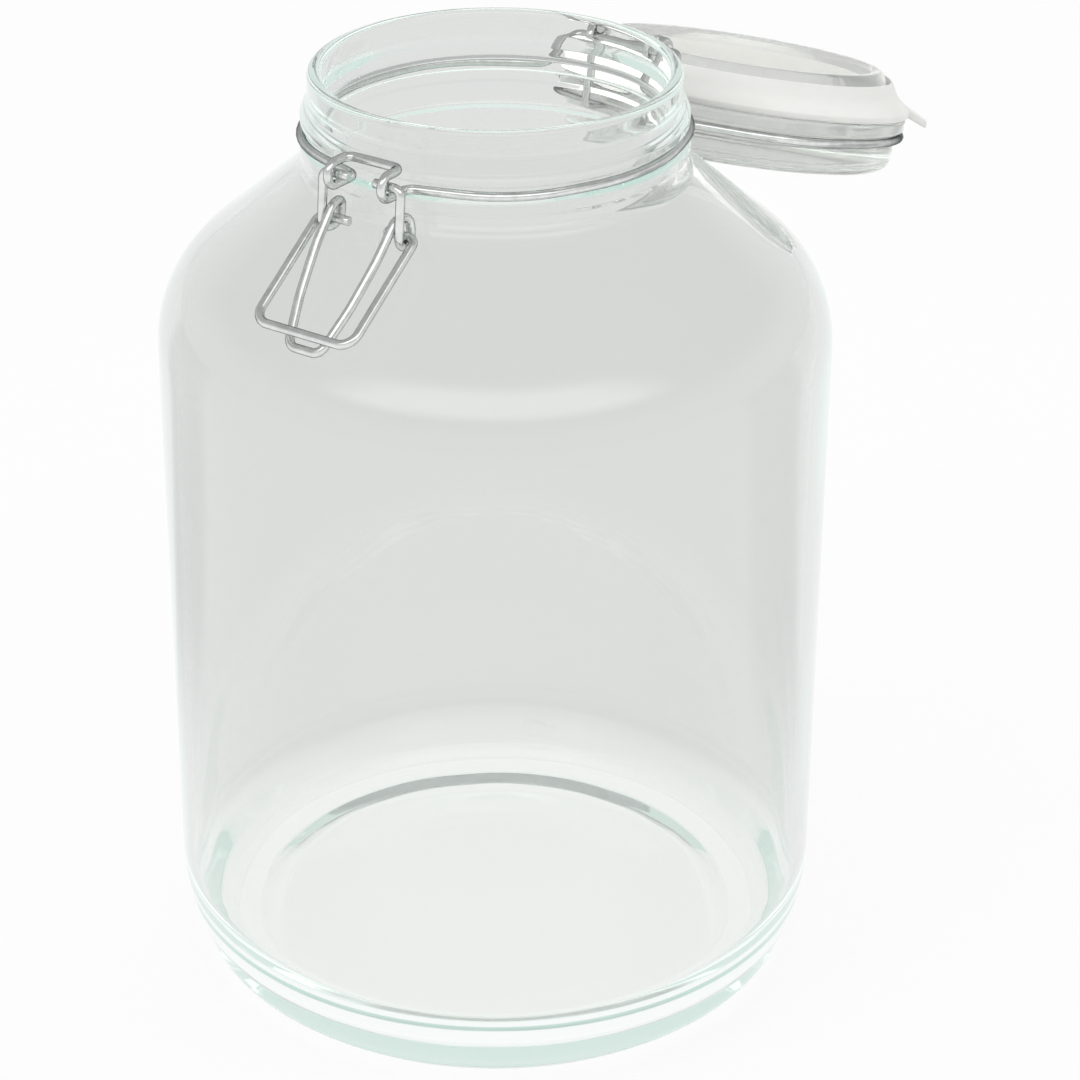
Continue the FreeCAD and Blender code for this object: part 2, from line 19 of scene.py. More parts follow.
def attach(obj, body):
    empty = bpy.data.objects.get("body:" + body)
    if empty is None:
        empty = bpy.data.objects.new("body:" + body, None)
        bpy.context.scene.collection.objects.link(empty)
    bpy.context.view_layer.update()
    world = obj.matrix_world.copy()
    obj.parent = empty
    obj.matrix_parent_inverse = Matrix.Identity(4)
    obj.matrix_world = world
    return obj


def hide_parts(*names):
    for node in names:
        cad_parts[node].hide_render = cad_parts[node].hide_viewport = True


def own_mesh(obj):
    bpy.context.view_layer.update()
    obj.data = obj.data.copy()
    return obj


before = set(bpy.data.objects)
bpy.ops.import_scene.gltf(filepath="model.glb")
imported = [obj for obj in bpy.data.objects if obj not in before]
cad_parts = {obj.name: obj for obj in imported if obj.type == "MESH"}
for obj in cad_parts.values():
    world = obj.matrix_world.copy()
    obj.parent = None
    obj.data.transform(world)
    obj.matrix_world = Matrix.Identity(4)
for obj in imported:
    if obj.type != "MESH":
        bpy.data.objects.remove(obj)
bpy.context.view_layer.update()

MM = 0.001
ARC_STEP = math.radians(7)
CUT_BEVEL = 0.2
NOISE_LOW, NOISE_HIGH = 0.3, 0.7

Colour = tuple[float, float, float]
Place = tuple[float, float]
Wobble = Callable[[float, float, float], Place]
Route = Sequence[Vector]
Bend = tuple[Vector, float]
Material = bpy.types.Material
Shader = bpy.types.ShaderNode
Socket = bpy.types.NodeSocket
Tree = bpy.types.NodeTree

log = logging.getLogger("preserving_jar")


# --- small geometry helpers ---


@dataclass(frozen=True)
class Corner:
    """A corner of a turned outline, in mm: its radius, its height and the radius of its bend."""

    radius: float
    height: float
    bend: float = 0.0


def bend_points(before: Vector, here: Vector, after: Vector, bend: float) -> list[Vector]:
    """Works out a tangent arc that rounds one corner.

    Args:
        before: the corner before it.
        here: the corner that is rounded.
        after: the corner after it.
        bend: the radius of the arc, which is made smaller where the runs are too short for it.

    Returns:
        The points of the arc, or the corner itself where it isn't rounded.
    """
    back, onward = before - here, after - here
    turn = math.pi - back.angle(onward)
    if bend <= 0 or turn < 1e-3:
        return [here]
    reach = min(bend * math.tan(turn / 2), 0.5 * back.length, 0.5 * onward.length)
    bend = reach / math.tan(turn / 2)
    back, onward = back.normalized(), onward.normalized()
    middle = here + (back + onward).normalized() * (bend / math.cos(turn / 2))
    start, end = here + back * reach - middle, here + onward * reach - middle
    count = max(2, math.ceil(turn / ARC_STEP))
    parts = [turn * step / count for step in range(count + 1)]
    return [
        middle + (start * math.sin(turn - part) + end * math.sin(part)) / math.sin(turn)
        for part in parts
    ]


def outline(corners: Sequence[Corner], spacing: float, closed: bool = False) -> list[Place]:
    """Makes an outline of straight runs and tangent arcs.

    Args:
        corners: the outline's corners in order.
        spacing: the longest step along a straight run, in mm.
        closed: whether the last corner joins the first.

    Returns:
        The points of the outline, each a radius and a height in mm.
    """
    places = [Vector((corner.radius, corner.height)) for corner in corners]
    count = len(places)
    rounded: list[Vector] = []
    for index, corner in enumerate(corners):
        if not closed and index in (0, count - 1):
            rounded.append(places[index])
            continue
        before, after = places[index - 1], places[(index + 1) % count]
        rounded.extend(bend_points(before, places[index], after, corner.bend))
    points: list[Place] = []
    following = rounded[1:] + rounded[:1] if closed else rounded[1:]
    for here, there in zip(rounded, following):
        steps = max(1, math.ceil((there - here).length / spacing))
        points.extend(tuple(here.lerp(there, step / steps)) for step in range(steps))
    if not closed:
        points.append(tuple(rounded[-1]))
    return points


def still(angle: float, radius: float, height: float) -> Place:
    """Leaves a place of a turned piece where it is."""
    return radius, height


def turned(
    name: str, points: Sequence[Place], around: int, closed: bool, wobble: Wobble
) -> bpy.types.Object:
    """Turns an outline about the Z axis into a smooth closed mesh.

    Args:
        name: the object's name.
        points: the outline, each a radius and a height in mm.
        around: how many steps a full turn has.
        closed: whether the outline is a closed section, and otherwise it ends on the axis.
        wobble: gives a place's true radius and height from its angle, radius and height.

    Returns:
        The new object.
    """
    mesh = bmesh.new()
    angles = [2 * math.pi * step / around for step in range(around)]
    rings: list[list[bmesh.types.BMVert]] = []
    for radius, height in points:
        on_axis = radius < 1e-6
        ring = []
        for angle in angles[:1] if on_axis else angles:
            out, up = wobble(angle, radius, height)
            spot = (out * math.cos(angle) * MM, out * math.sin(angle) * MM, up * MM)
            ring.append(mesh.verts.new(spot))
        rings.append(ring)
    following = rings[1:] + rings[:1] if closed else rings[1:]
    for low, high in zip(rings, following):
        for step in range(around):
            onward = (step + 1) % around
            here, there = step % len(low), onward % len(low)
            above, beyond = onward % len(high), step % len(high)
            corners = [low[here], low[there], high[above], high[beyond]]
            mesh.faces.new(list(dict.fromkeys(corners)))
    bmesh.ops.recalc_face_normals(mesh, faces=mesh.faces)
    data = bpy.data.meshes.new(name)
    mesh.to_mesh(data)
    mesh.free()
    data.shade_smooth()
    piece = bpy.data.objects.new(name, data)
    bpy.context.scene.collection.objects.link(piece)
    return piece


def bent_route(corners: Sequence[Bend], spacing: float) -> list[Vector]:
    """Makes a wire's centreline of straight runs and tangent arcs.

    Args:
        corners: the ends and the turns in order, each with its bend radius, in mm.
        spacing: the longest step along a straight run, in mm.

    Returns:
        The points of the centreline, in mm.
    """
    bent = [corners[0][0]]
    for (before, _), (here, bend), (after, _) in zip(corners, corners[1:], corners[2:]):
        bent.extend(bend_points(before, here, after, bend))
    bent.append(corners[-1][0])
    points = [bent[0]]
    for here, there in zip(bent, bent[1:]):
        steps = math.ceil((there - here).length / spacing)
        points.extend(here.lerp(there, (step + 1) / steps) for step in range(steps))
    return points


def both_sides(half: Route, closed: bool) -> list[Vector]:
    """Joins half a route, which starts at X = 0, to its mirror image.

    Args:
        half: the half on the +X side.
        closed: whether it also ends at X = 0, so that the whole is a ring.

    Returns:
        The points of the whole route.
    """
    mirrored = [Vector((-point.x, point.y, point.z)) for point in half]
    if closed:
        return list(half) + mirrored[-2:0:-1]
    return mirrored[:0:-1] + list(half)


def tube(name: str, route: Route, radius: float, closed: bool, sides: int = 24) -> bpy.types.Object:
    """Draws a round wire along a centreline.

    Args:
        name: the object's name.
        route: the centreline's points, in mm.
        radius: the wire's radius, in mm.
        closed: whether the last point joins the first. Open ends are cut with a small bevel.
        sides: how many steps the round section has.

    Returns:
        The new object.
    """
    count = len(route)
    last = count - 1
    headings = []
    for index in range(count):
        before = route[index - 1] if closed or index else route[0]
        after = route[(index + 1) % count] if closed or index < last else route[last]
        headings.append((after - before).normalized())
    aside = headings[0].orthogonal().normalized()
    asides = []
    for heading in headings:
        aside = (aside - heading * aside.dot(heading)).normalized()
        asides.append(aside)
    drift = 0.0
    if closed:
        end = (asides[-1] - headings[0] * asides[-1].dot(headings[0])).normalized()
        drift = math.atan2(headings[0].dot(end.cross(asides[0])), end.dot(asides[0]))
    bevel = CUT_BEVEL * radius
    mesh = bmesh.new()
    rings = []
    for index, (place, heading, aside) in enumerate(zip(route, headings, asides)):
        across = heading.cross(aside)
        rows = [(place, radius)]
        if not closed and index == 0:
            rows = [(place, radius - bevel), (place + heading * bevel, radius)]
        elif not closed and index == last:
            rows = [(place - heading * bevel, radius), (place, radius - bevel)]
        for middle, size in rows:
            ring = []
            for side in range(sides):
                angle = 2 * math.pi * side / sides + drift * index / count
                spot = middle + (aside * math.cos(angle) + across * math.sin(angle)) * size
                ring.append(mesh.verts.new(spot * MM))
            rings.append(ring)
    for low, high in zip(rings, rings[1:] + rings[:1] if closed else rings[1:]):
        for side in range(sides):
            onward = (side + 1) % sides
            mesh.faces.new((low[side], low[onward], high[onward], high[side]))
    if not closed:
        mesh.faces.new(rings[0][::-1])
        mesh.faces.new(rings[-1])
    bmesh.ops.recalc_face_normals(mesh, faces=mesh.faces)
    for face in mesh.faces:
        face.smooth = len(face.verts) == 4
    data = bpy.data.meshes.new(name)
    mesh.to_mesh(data)
    mesh.free()
    piece = bpy.data.objects.new(name, data)
    bpy.context.scene.collection.objects.link(piece)
    return piece


def smooth_step(share: float) -> float:
    """Eases a share from 0 to 1."""
    share = min(1.0, max(0.0, share))
    return share * share * (3 - 2 * share)


def ripple(angle: float, seed: float) -> float:
    """An uneven wave round a full turn, between about -1 and 1, that joins up with itself."""
    turns = ((2, 0.34, 1.3), (3, 0.27, 4.1), (5, 0.19, 2.2), (8, 0.12, 5.3), (13, 0.08, 0.7))
    return sum(size * math.sin(count * angle + phase * seed) for count, size, phase in turns)


# --- shader nodes ---


def eased(tree: Tree, value: Socket, start: float, end: float, low: float, high: float) -> Socket:
    """Eases from one number to another as a value goes from start to end.

    Args:
        tree: the node tree that it goes into.
        value: the value that it follows.
        start: where the change starts.
        end: where the change ends.
        low: the number before the start.
        high: the number after the end.

    Returns:
        The eased number.
    """
    node = tree.nodes.new("ShaderNodeMapRange")
    node.interpolation_type = "SMOOTHSTEP"
    for name, number in (("From Min", start), ("From Max", end), ("To Min", low), ("To Max", high)):
        node.inputs[name].default_value = number
    tree.links.new(value, node.inputs["Value"])
    return node.outputs["Result"]


def product(tree: Tree, value: Socket, factor: Socket | float) -> Socket:
    """Multiplies a value by another value or by a number."""
    return arithmetic(tree, "MULTIPLY", value, factor)


def largest(tree: Tree, values: Sequence[Socket]) -> Socket:
    """The largest of several values.

    Args:
        tree: the node tree that it goes into.
        values: the values to compare.

    Returns:
        The largest one.
    """
    result = values[0]
    for value in values[1:]:
        result = arithmetic(tree, "MAXIMUM", result, value)
    return result


def arithmetic(tree: Tree, kind: str, value: Socket, other: Socket | float) -> Socket:
    """Combines a value with another value or a number.

    Args:
        tree: the node tree that it goes into.
        kind: the operation of the Math node.
        value: the first value.
        other: the second value, or a number.

    Returns:
        The result.
    """
    node = tree.nodes.new("ShaderNodeMath")
    node.operation = kind
    tree.links.new(value, node.inputs[0])
    if isinstance(other, float):
        node.inputs[1].default_value = other
    else:
        tree.links.new(other, node.inputs[1])
    return node.outputs["Value"]


# --- finishes ---


class Slot(Enum):
    """The record's material slots."""

    JAR_GLASS = "jar_glass"
    LID_GLASS = "lid_glass"
    WIRE = "wire"
    GASKET = "gasket"


def new_material(name: str) -> tuple[Material, Shader]:
    """Makes an empty node material with one Principled shader.

    Args:
        name: the material's name.

    Returns:
        The material and its shader.
    """
    material = bpy.data.materials.new(name)
    material.use_nodes = True
    shader = material.node_tree.nodes["Principled BSDF"]
    return material, shader


def noise(
    material: Material, scale: float, detail: float, stretch: Colour = (1, 1, 1)
) -> Socket:
    """Adds a noise texture in the object's own coordinates.

    Args:
        material: the material that it goes into.
        scale: how many cells a metre has.
        detail: how many finer layers it has.
        stretch: how much the pattern is drawn together along each axis.

    Returns:
        The texture's value, from 0 to 1.
    """
    nodes, links = material.node_tree.nodes, material.node_tree.links
    place = nodes.new("ShaderNodeTexCoord")
    mapping = nodes.new("ShaderNodeMapping")
    mapping.inputs["Scale"].default_value = stretch
    texture = nodes.new("ShaderNodeTexNoise")
    texture.inputs["Scale"].default_value = scale
    texture.inputs["Detail"].default_value = detail
    links.new(place.outputs["Object"], mapping.inputs["Vector"])
    links.new(mapping.outputs["Vector"], texture.inputs["Vector"])
    return texture.outputs["Fac"]


def spread(material: Material, value: Socket, low: float, high: float) -> Socket:
    """Maps a texture's middle range onto a range of values.

    Args:
        material: the material that it goes into.
        value: the texture's value.
        low: what a value of NOISE_LOW becomes.
        high: what a value of NOISE_HIGH becomes.

    Returns:
        The mapped value.
    """
    node = material.node_tree.nodes.new("ShaderNodeMapRange")
    node.inputs["From Min"].default_value = NOISE_LOW
    node.inputs["From Max"].default_value = NOISE_HIGH
    node.inputs["To Min"].default_value = low
    node.inputs["To Max"].default_value = high
    material.node_tree.links.new(value, node.inputs["Value"])
    return node.outputs["Result"]


def two_tones(material: Material, value: Socket, first: Colour, second: Colour) -> Socket:
    """Blends two colours by a texture's value.

    Args:
        material: the material that it goes into.
        value: the texture's value.
        first: the colour where the value is low.
        second: the colour where the value is high.

    Returns:
        The blended colour.
    """
    ramp = material.node_tree.nodes.new("ShaderNodeValToRGB")
    ramp.color_ramp.elements[0].position = NOISE_LOW
    ramp.color_ramp.elements[0].color = (*first, 1)
    ramp.color_ramp.elements[1].position = NOISE_HIGH
    ramp.color_ramp.elements[1].color = (*second, 1)
    material.node_tree.links.new(value, ramp.inputs["Fac"])
    return ramp.outputs["Color"]


def bump(material: Material, shader: Shader, height: Socket, depth_mm: float) -> None:
    """Raises the surface a little by a texture.

    Args:
        material: the material that it goes into.
        shader: the shader whose normal it bends.
        height: the texture's value.
        depth_mm: how deep the relief is, in mm.
    """
    node = material.node_tree.nodes.new("ShaderNodeBump")
    node.inputs["Strength"].default_value = 1.0
    node.inputs["Distance"].default_value = depth_mm * MM
    material.node_tree.links.new(height, node.inputs["Height"])
    material.node_tree.links.new(node.outputs["Normal"], shader.inputs["Normal"])


@dataclass(frozen=True)
class GlassFinish:
    """Clear pressed glass: a faint tint at each wall, and a green cast that grows with depth."""

    name: str
    tint: Colour
    cast: Colour
    cast_density: float
    ripple_mm: float
    ior: float = 1.5
    milkiness: float = 0.0
    painted_deep_glow: Colour = (0.4, 0.44, 0.425)
    deepest_turn: float = 3.5
    haze_cells: float = 38
    haze: tuple[float, float] = (0.0, 0.012)
    ripple_cells: float = 26
    ripple_stretch: Colour = (1, 1, 0.45)

    def material(self) -> Material:
        """Makes the glass, with shallow ripples from the mould, a trace of handling haze and a
        painted glow deep inside its reflections.

        Returns:
            The material.
        """
        material, shader = new_material(self.name)
        shader.inputs["Base Color"].default_value = (*self.tint, 1)
        shader.inputs["Transmission Weight"].default_value = 1.0 - self.milkiness
        shader.inputs["IOR"].default_value = self.ior
        nodes, links = material.node_tree.nodes, material.node_tree.links
        haze = noise(material, self.haze_cells, 3)
        links.new(spread(material, haze, *self.haze), shader.inputs["Roughness"])
        ripples = noise(material, self.ripple_cells, 1, self.ripple_stretch)
        bump(material, shader, ripples, self.ripple_mm)
        # Painted glow: past a few reflections inside the glass, the glass gives off a pale light of
        # its own in place of the light that the cut-off paths would bring.
        path = nodes.new("ShaderNodeLightPath")
        deep = nodes.new("ShaderNodeMath")
        deep.operation = "GREATER_THAN"
        deep.inputs[1].default_value = self.deepest_turn
        links.new(path.outputs["Glossy Depth"], deep.inputs[0])
        links.new(deep.outputs["Value"], shader.inputs["Emission Strength"])
        shader.inputs["Emission Color"].default_value = (*self.painted_deep_glow, 1)
        depth = nodes.new("ShaderNodeVolumeAbsorption")
        depth.inputs["Color"].default_value = (*self.cast, 1)
        depth.inputs["Density"].default_value = self.cast_density
        links.new(depth.outputs["Volume"], nodes["Material Output"].inputs["Volume"])
        return material


@dataclass(frozen=True)
class WireFinish:
    """Zinc-plated spring wire: bright, a little clouded, with fine lines from the drawing die."""

    name: str
    dark: Colour
    light: Colour
    polish: tuple[float, float]
    rim: Colour = (0.12, 0.13, 0.13)
    cloud_cells: float = 420
    line_cells: float = 1500
    line_mm: float = 0.02

    def material(self) -> Material:
        """Makes the plated wire, which is darker where it is seen edge on.

        Returns:
            The material.
        """
        material, shader = new_material(self.name)
        cloud = noise(material, self.cloud_cells, 4)
        links = material.node_tree.links
        tone = two_tones(material, cloud, self.dark, self.light)
        links.new(tone, shader.inputs["Base Color"])
        shader.inputs["Metallic"].default_value = 1.0
        shader.inputs["Specular Tint"].default_value = (*self.rim, 1)
        links.new(spread(material, cloud, *self.polish), shader.inputs["Roughness"])
        bump(material, shader, noise(material, self.line_cells, 3), self.line_mm)
        return material


@dataclass(frozen=True)
class RubberFinish:
    """Moulded white rubber: matt, a little uneven in tone, with a fine skin."""

    name: str
    shade: Colour
    face: Colour
    roughness: tuple[float, float]
    glow_through_mm: float = 1.2
    painted_open_glow: float = 0.04
    painted_glass_glow: float = 0.68
    softness: float = 0.5
    softness_reach: Colour = (1.0, 0.95, 0.85)
    blotch_cells: float = 90
    skin_cells: float = 900
    skin_mm: float = 0.03

    def material(self) -> Material:
        """Makes the rubber, through which some light passes, with a painted glow of its own that is
        much brighter where it is seen through glass.

        Returns:
            The material.
        """
        material, shader = new_material(self.name)
        nodes, links = material.node_tree.nodes, material.node_tree.links
        blotches = noise(material, self.blotch_cells, 4)
        tone = two_tones(material, blotches, self.shade, self.face)
        links.new(tone, shader.inputs["Base Color"])
        links.new(spread(material, blotches, *self.roughness), shader.inputs["Roughness"])
        # Painted light: the rubber gives off light in its own colour, faintly everywhere and
        # strongly where it is seen through the glass, in place of the light that the glass keeps
        # from it.
        path = nodes.new("ShaderNodeLightPath")
        glow = nodes.new("ShaderNodeMapRange")
        glow.inputs["To Min"].default_value = self.painted_open_glow
        glow.inputs["To Max"].default_value = self.painted_glass_glow
        links.new(path.outputs["Is Transmission Ray"], glow.inputs["Value"])
        links.new(glow.outputs["Result"], shader.inputs["Emission Strength"])
        shader.inputs["Emission Color"].default_value = (*self.face, 1)
        shader.inputs["Subsurface Weight"].default_value = self.softness
        shader.inputs["Subsurface Radius"].default_value = self.softness_reach
        shader.inputs["Subsurface Scale"].default_value = self.glow_through_mm * MM
        bump(material, shader, noise(material, self.skin_cells, 4), self.skin_mm)
        return material


JAR_GLASS = GlassFinish(
    name="jar_glass_clear",
    tint=(0.934, 0.943, 0.932),
    cast=(0.4, 0.72, 0.64),
    cast_density=2.9,
    ripple_mm=0.25,
)
LID_GLASS = GlassFinish(
    name="lid_glass_clear",
    tint=(0.965, 0.968, 0.955),
    cast=(0.62, 0.74, 0.66),
    cast_density=1.6,
    ripple_mm=0.1,
    milkiness=0.2,
)
PLATED_WIRE = WireFinish(
    name="zinc_wire",
    dark=(0.7, 0.715, 0.705),
    light=(0.84, 0.855, 0.845),
    polish=(0.1, 0.2),
)
WHITE_RUBBER = RubberFinish(
    name="white_rubber",
    shade=(0.89, 0.89, 0.855),
    face=(0.94, 0.94, 0.915),
    roughness=(0.5, 0.65),
)


# --- the jar ---


@dataclass
class JarGlass:
    """The jar's body: a turned glass shell with a pushed-up base, a shoulder, a neck and a lip."""

    body_radius: float = 91.0
    stand_radius: float = 80.0
    heel_radius: float = 85.5
    heel_height: float = 4.9
    heel_top: float = 20.4
    push_radius: float = 66.3
    push_rise: float = 3.6
    shoulder_slope: float = math.radians(40)
    neck_radius: float = 50.9
    neck_foot_height: float = 235.7
    mouth_height: float = 262.0
    lip_radius: float = 49.2
    mouth_radius: float = 45.6
    bead_radius: float = 51.5
    groove_radius: float = 48.8
    wire_height: float = 246.0
    wall: float = 4.0
    floor: float = 8.0
    around: int = 288
    finish: GlassFinish = JAR_GLASS

    def shoulder_at(self, radius: float) -> float:
        """The height of the shoulder's outer line at a radius, in mm."""
        return self.neck_foot_height - (radius - self.neck_radius) * math.tan(self.shoulder_slope)

    def shoulder_inside_at(self, radius: float) -> float:
        """The height of the shoulder's inner line at a radius, in mm."""
        return self.shoulder_at(radius) - self.wall / math.cos(self.shoulder_slope)

    def outside(self) -> list[Corner]:
        """The corners of the outside, from the middle of the base up to the lip.

        Returns:
            The corners.
        """
        wire = self.wire_height
        return [
            Corner(0, self.push_rise),
            Corner(self.push_radius * 0.6, self.push_rise * 0.8, 60),
            Corner(self.push_radius - 4.2, 1.6, 9.0),
            Corner(self.push_radius + 3.4, 0, 8.0),
            Corner(self.stand_radius, 0, 2.2),
            Corner(self.heel_radius, self.heel_height, 8),
            Corner(self.body_radius, self.heel_top, 48),
            Corner(self.body_radius, self.shoulder_at(self.body_radius), 33),
            Corner(self.neck_radius, self.neck_foot_height, 5),
            Corner(self.neck_radius, wire - 5.9, 0.6),
            Corner(self.bead_radius, wire - 4.8, 0.8),
            Corner(self.bead_radius, wire - 2.3, 0.8),
            Corner(self.groove_radius, wire - 1.4, 0.5),
            Corner(self.groove_radius, wire + 1.4, 0.5),
            Corner(self.bead_radius - 0.3, wire + 2.2, 0.8),
            Corner(self.bead_radius - 0.3, wire + 4.6, 1.2),
            Corner(self.lip_radius, self.mouth_height - 6.5, 4),
            Corner(self.lip_radius, self.mouth_height, 1.7),
        ]

    def inside(self) -> list[Corner]:
        """The corners of the inside, from the lip down to the middle of the floor.

        Returns:
            The corners.
        """
        inner = self.body_radius - self.wall
        return [
            Corner(self.mouth_radius, self.mouth_height, 1.5),
            Corner(self.mouth_radius, self.shoulder_inside_at(self.mouth_radius), 9),
            Corner(inner, self.shoulder_inside_at(inner), 29),
            Corner(inner, self.heel_top + 2, 18),
            Corner(self.stand_radius - 6, self.floor, 18),
            Corner(0, self.floor),
        ]

    def wobble(self, angle: float, radius: float, height: float) -> Place:
        """Makes the edge round the pushed-up base wavy and the inner wall rippled.

        Args:
            angle: the place's angle, in radians.
            radius: its radius, in mm.
            height: its height, in mm.

        Returns:
            The new radius and height, in mm.
        """
        if height < self.floor - 1 and radius < self.stand_radius - 4:
            edge = smooth_step(1 - abs(radius - self.push_radius) / 9)
            radius += 0.9 * edge * ripple(angle, 1.0)
            lift = 0.35 * edge * ripple(angle * 2, 2.0) * smooth_step(height / 0.8)
            height = max(0.0, height + lift)
            return radius, height
        inner = self.body_radius - self.wall
        if abs(radius - inner) < 0.6 and height > self.heel_top:
            fade = smooth_step((height - self.heel_top) / 20) * smooth_step((190 - height) / 30)
            drift = 0.5 * math.sin(height / 37) + 0.35 * math.sin(height / 19 + 1.1)
            radius -= 0.14 * fade * (1 + ripple(angle, 3.0) + drift * ripple(angle * 3, 1.7))
        return radius, height

    def build(self) -> bpy.types.Object:
        """Turns the shell, gives it its glass and lets it stand for the jar's solid.

        Returns:
            The new piece.
        """
        points = outline(self.outside() + self.inside(), spacing=4.0)
        piece = turned("jar_shell", points, self.around, False, self.wobble)
        piece.data.materials.append(self.finish.material())
        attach(piece, "jar")
        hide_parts("jar_glass")
        return piece


# --- the lid ---


@dataclass
class LidPlace:
    """Where the lid stands: it is made shut, over the mouth, and turned open about its hinge."""

    hinge_reach: float = 64.7
    hinge_height: float = 250.0
    open_angle: float = math.radians(195)
    seat: float = 264.5

    def opening(self) -> Matrix:
        """The move from shut to open, in metres."""
        hinge = Matrix.Translation(Vector((0, self.hinge_reach, self.hinge_height)) * MM)
        return hinge @ Matrix.Rotation(-self.open_angle, 4, "X") @ hinge.inverted()

    def axis(self) -> Vector:
        """The lid's own upward direction as it stands open."""
        return self.opening().to_3x3() @ Vector((0, 0, 1))

    def seat_middle(self) -> Vector:
        """The middle of the flange's face as it stands open, in metres."""
        return self.opening() @ (Vector((0, 0, self.seat)) * MM)


@dataclass
class LidGlass:
    """The lid: a low dome over a flange, with a wire groove between and a hollow plug below."""

    place: LidPlace
    flange_radius: float = 50.3
    flange_height: float = 4.4
    dome_radius: float = 48.0
    dome_height: float = 16.0
    plug_radius: float = 43.8
    plug_tip_radius: float = 41.0
    plug_depth: float = 12.0
    plug_wall: float = 4.6
    thickness: float = 6.0
    around: int = 256
    finish: GlassFinish = LID_GLASS

    def corners(self) -> list[Corner]:
        """The corners from the middle of the dome, round the outside and up into the recess.

        Returns:
            The corners.
        """
        seat = self.place.seat
        top = seat + self.dome_height
        tip = seat - self.plug_depth
        ceiling = top - self.thickness
        recess = self.plug_tip_radius - self.plug_wall
        return [
            Corner(0, top),
            Corner(self.dome_radius - 9, top, 40),
            Corner(self.dome_radius, top, 4),
            Corner(self.dome_radius, seat + self.flange_height, 0.4),
            Corner(self.flange_radius, seat + self.flange_height, 1.4),
            Corner(self.flange_radius, seat, 1.4),
            Corner(self.plug_radius, seat, 0.5),
            Corner(self.plug_radius, tip + 4.4, 2.5),
            Corner(self.plug_tip_radius, tip, 1.5),
            Corner(recess + 1.6, tip, 1.3),
            Corner(recess, ceiling, 6),
            Corner(0, ceiling),
        ]

    def build(self) -> bpy.types.Object:
        """Turns the lid, opens it, and lets it stand for the lid's glass solid.

        Returns:
            The new piece.
        """
        points = outline(self.corners(), spacing=3.0)
        piece = turned("lid_shell", points, self.around, False, still)
        piece.data.transform(self.place.opening())
        piece.data.materials.append(self.finish.material())
        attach(piece, "lid")
        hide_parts("lid_glass")
        return piece


@dataclass
class Gasket:
    """The rubber ring round the plug: a relaxed cone with a small pull tab."""

    place: LidPlace
    inner: float = 44.1
    outer: float = 50.9
    thickness: float = 1.8
    lift: float = 8.6
    sag_radius: float = 46.8
    sag: float = 3.5
    tab_length: float = 5.8
    tab_slope: float = 0.45
    tab_width: float = 9.0
    tab_angle: float = math.radians(-35)
    around: int = 480
    finish: RubberFinish = WHITE_RUBBER
    flattened: float = 0.28

    def corners(self) -> list[Corner]:
        """The corners of the ring's section.

        Returns:
            The corners.
        """
        seat = self.place.seat
        return [
            Corner(self.inner, seat - self.lift - self.thickness, 0.5),
            Corner(self.sag_radius, seat - self.sag - self.thickness, 8),
            Corner(self.outer, seat - self.thickness, 0.9),
            Corner(self.outer, seat, 0.5),
            Corner(self.outer - 1.2, seat, 0.5),
            Corner(self.sag_radius - 0.6, seat - self.sag + self.thickness * 0.2, 6),
            Corner(self.inner, seat - self.lift + self.thickness * 0.3, 0.5),
        ]

    def with_tab(self, angle: float, radius: float, height: float) -> Place:
        """Draws the ring's outer edge out into the pull tab.

        Args:
            angle: the place's angle, in radians.
            radius: its radius, in mm.
            height: its height, in mm.

        Returns:
            The new radius and height, in mm.
        """
        aside = math.remainder(angle - self.tab_angle, 2 * math.pi) * self.outer
        share = smooth_step((self.tab_width / 2 + 0.6 - abs(aside)) / 1.2)
        share *= smooth_step((radius - self.outer + 1.3) / 1.0)
        return radius + share * self.tab_length, height + share * self.tab_length * self.tab_slope

    def build(self) -> bpy.types.Object:
        """Turns the ring and opens it with the lid.

        Returns:
            The new piece.
        """
        points = outline(self.corners(), spacing=0.8, closed=True)
        piece = turned("rubber_ring", points, self.around, True, self.with_tab)
        piece.data.transform(self.place.opening())
        piece.data.materials.append(self.finish.material())
        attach(piece, "lid")
        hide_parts("gasket")
        tuple(self.place.axis())
        tuple(self.place.seat_middle())
        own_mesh(piece)
        return piece


# --- the wires ---


def ring_corners(radius: float, height: float, first: float, last: float, spans: int) -> list[Bend]:
    """The corners of an arc about the Z axis.

    Args:
        radius: the arc's radius, in mm.
        height: its height, in mm.
        first: where it starts, in degrees from the -Y side towards +X.
        last: where it ends, in the same way.
        spans: how many corners it has.

    Returns:
        The corners, each with the arc's radius as its bend.
    """
    step = math.radians(last - first) / spans
    out = radius / math.cos(step / 2)
    angles = [math.radians(first) + (index + 0.5) * step for index in range(spans)]
    return [
        (Vector((out * math.sin(angle), -out * math.cos(angle), height)), radius)
        for angle in angles
    ]


def tangent_meets(radius: float, degrees: float, x_place: float) -> float:
    """The Y at which a ring's tangent, at an angle from -Y towards +X, crosses a given X, in mm."""
    angle = math.radians(degrees)
    along = (x_place - radius * math.sin(angle)) / math.cos(angle)
    return -radius * math.cos(angle) + along * math.sin(angle)


